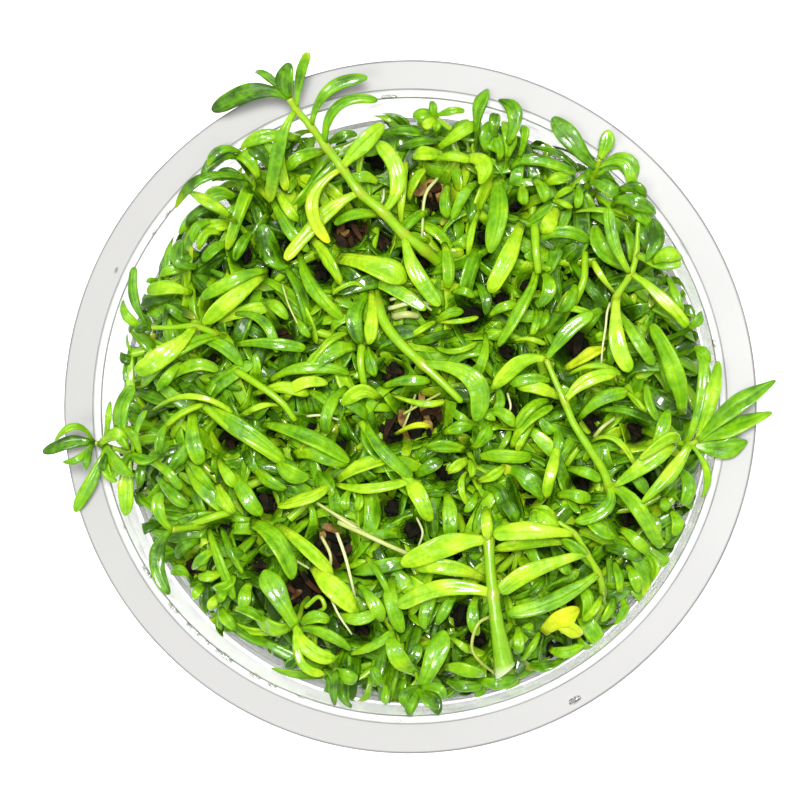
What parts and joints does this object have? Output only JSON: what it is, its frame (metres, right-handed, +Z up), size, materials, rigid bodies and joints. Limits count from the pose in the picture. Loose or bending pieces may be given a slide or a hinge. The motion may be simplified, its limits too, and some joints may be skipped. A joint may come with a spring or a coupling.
{
  "type": "cup of dwarf rotala plants",
  "caption": "Clear flanged plastic cup filled with a dense mass of tissue-cultured dwarf rotala, with leafy stems rising over the rim, ready for planting in an aquarium.",
  "frame": {"origin": "centre of the cup's flat base, on the cup's axis", "axes": "+Z up along the cup's axis; +Y towards the shoot that leans furthest over the rim, as the top of the view from above; +X to the right in that view"},
  "size_m": [0.1004, 0.0953, 0.0542],
  "materials": {
    "clear_plastic": "clear, smooth, faintly milky",
    "brown_gel": "wet translucent brown agar",
    "low_growth": "living plant tissue, wet",
    "stem_green": "living plant tissue, smooth yellow-green",
    "leaf_green": "living plant tissue, waxy green",
    "leaf_bright": "living plant tissue, waxy yellow-green",
    "leaf_deep": "living plant tissue, waxy deep green"
  },
  "bodies": {
    "root": {"centre_leaf_1": "leaf_deep", "centre_stem": "stem_green", "cup": "clear_plastic", "east_leaf_1": "leaf_green", "east_leaf_2": "leaf_green", "east_leaf_3": "leaf_green", "east_leaf_4": "leaf_bright", "east_leaf_5": "leaf_bright", "east_stem": "stem_green", "low_growth": "low_growth", "lower_west_leaf_1": "leaf_deep", "lower_west_stem": "stem_green", "north_east_leaf_1": "leaf_deep", "north_east_leaf_2": "leaf_green", "north_east_leaf_3": "leaf_green", "north_east_stem": "stem_green", "north_west_leaf_1": "leaf_deep", "north_west_leaf_10": "leaf_bright", "north_west_leaf_11": "leaf_bright", "north_west_leaf_2": "leaf_deep", "north_west_leaf_3": "leaf_green", "north_west_leaf_4": "leaf_green", "north_west_leaf_5": "leaf_green", "north_west_leaf_6": "leaf_green", "north_west_leaf_7": "leaf_bright", "north_west_leaf_8": "leaf_bright", "north_west_leaf_9": "leaf_bright", "north_west_stem": "stem_green", "nutrient_gel": "brown_gel", "right_centre_leaf_1": "leaf_green", "right_centre_leaf_2": "leaf_bright", "right_centre_leaf_3": "leaf_bright", "right_centre_leaf_4": "leaf_green", "right_centre_stem": "stem_green", "south_east_leaf_1": "leaf_bright", "south_east_leaf_2": "leaf_bright", "south_east_leaf_3": "leaf_green", "south_east_stem": "stem_green", "south_edge_leaf_1": "leaf_green", "south_edge_leaf_2": "leaf_deep", "south_edge_stem": "stem_green", "south_leaf_1": "leaf_bright", "south_leaf_2": "leaf_bright", "south_stem": "stem_green", "south_west_leaf_1": "leaf_green", "south_west_leaf_2": "leaf_bright", "south_west_stem": "stem_green", "upper_east_leaf_1": "leaf_green", "upper_east_leaf_2": "leaf_bright", "upper_east_leaf_3": "leaf_green", "upper_east_leaf_4": "leaf_bright", "upper_east_stem": "stem_green", "upper_west_leaf_1": "leaf_bright", "upper_west_leaf_2": "leaf_deep", "upper_west_stem": "stem_green", "west_leaf_1": "leaf_deep", "west_leaf_2": "leaf_green", "west_leaf_3": "leaf_green", "west_leaf_4": "leaf_bright", "west_stem": "stem_green"}
  },
  "joints": []
}
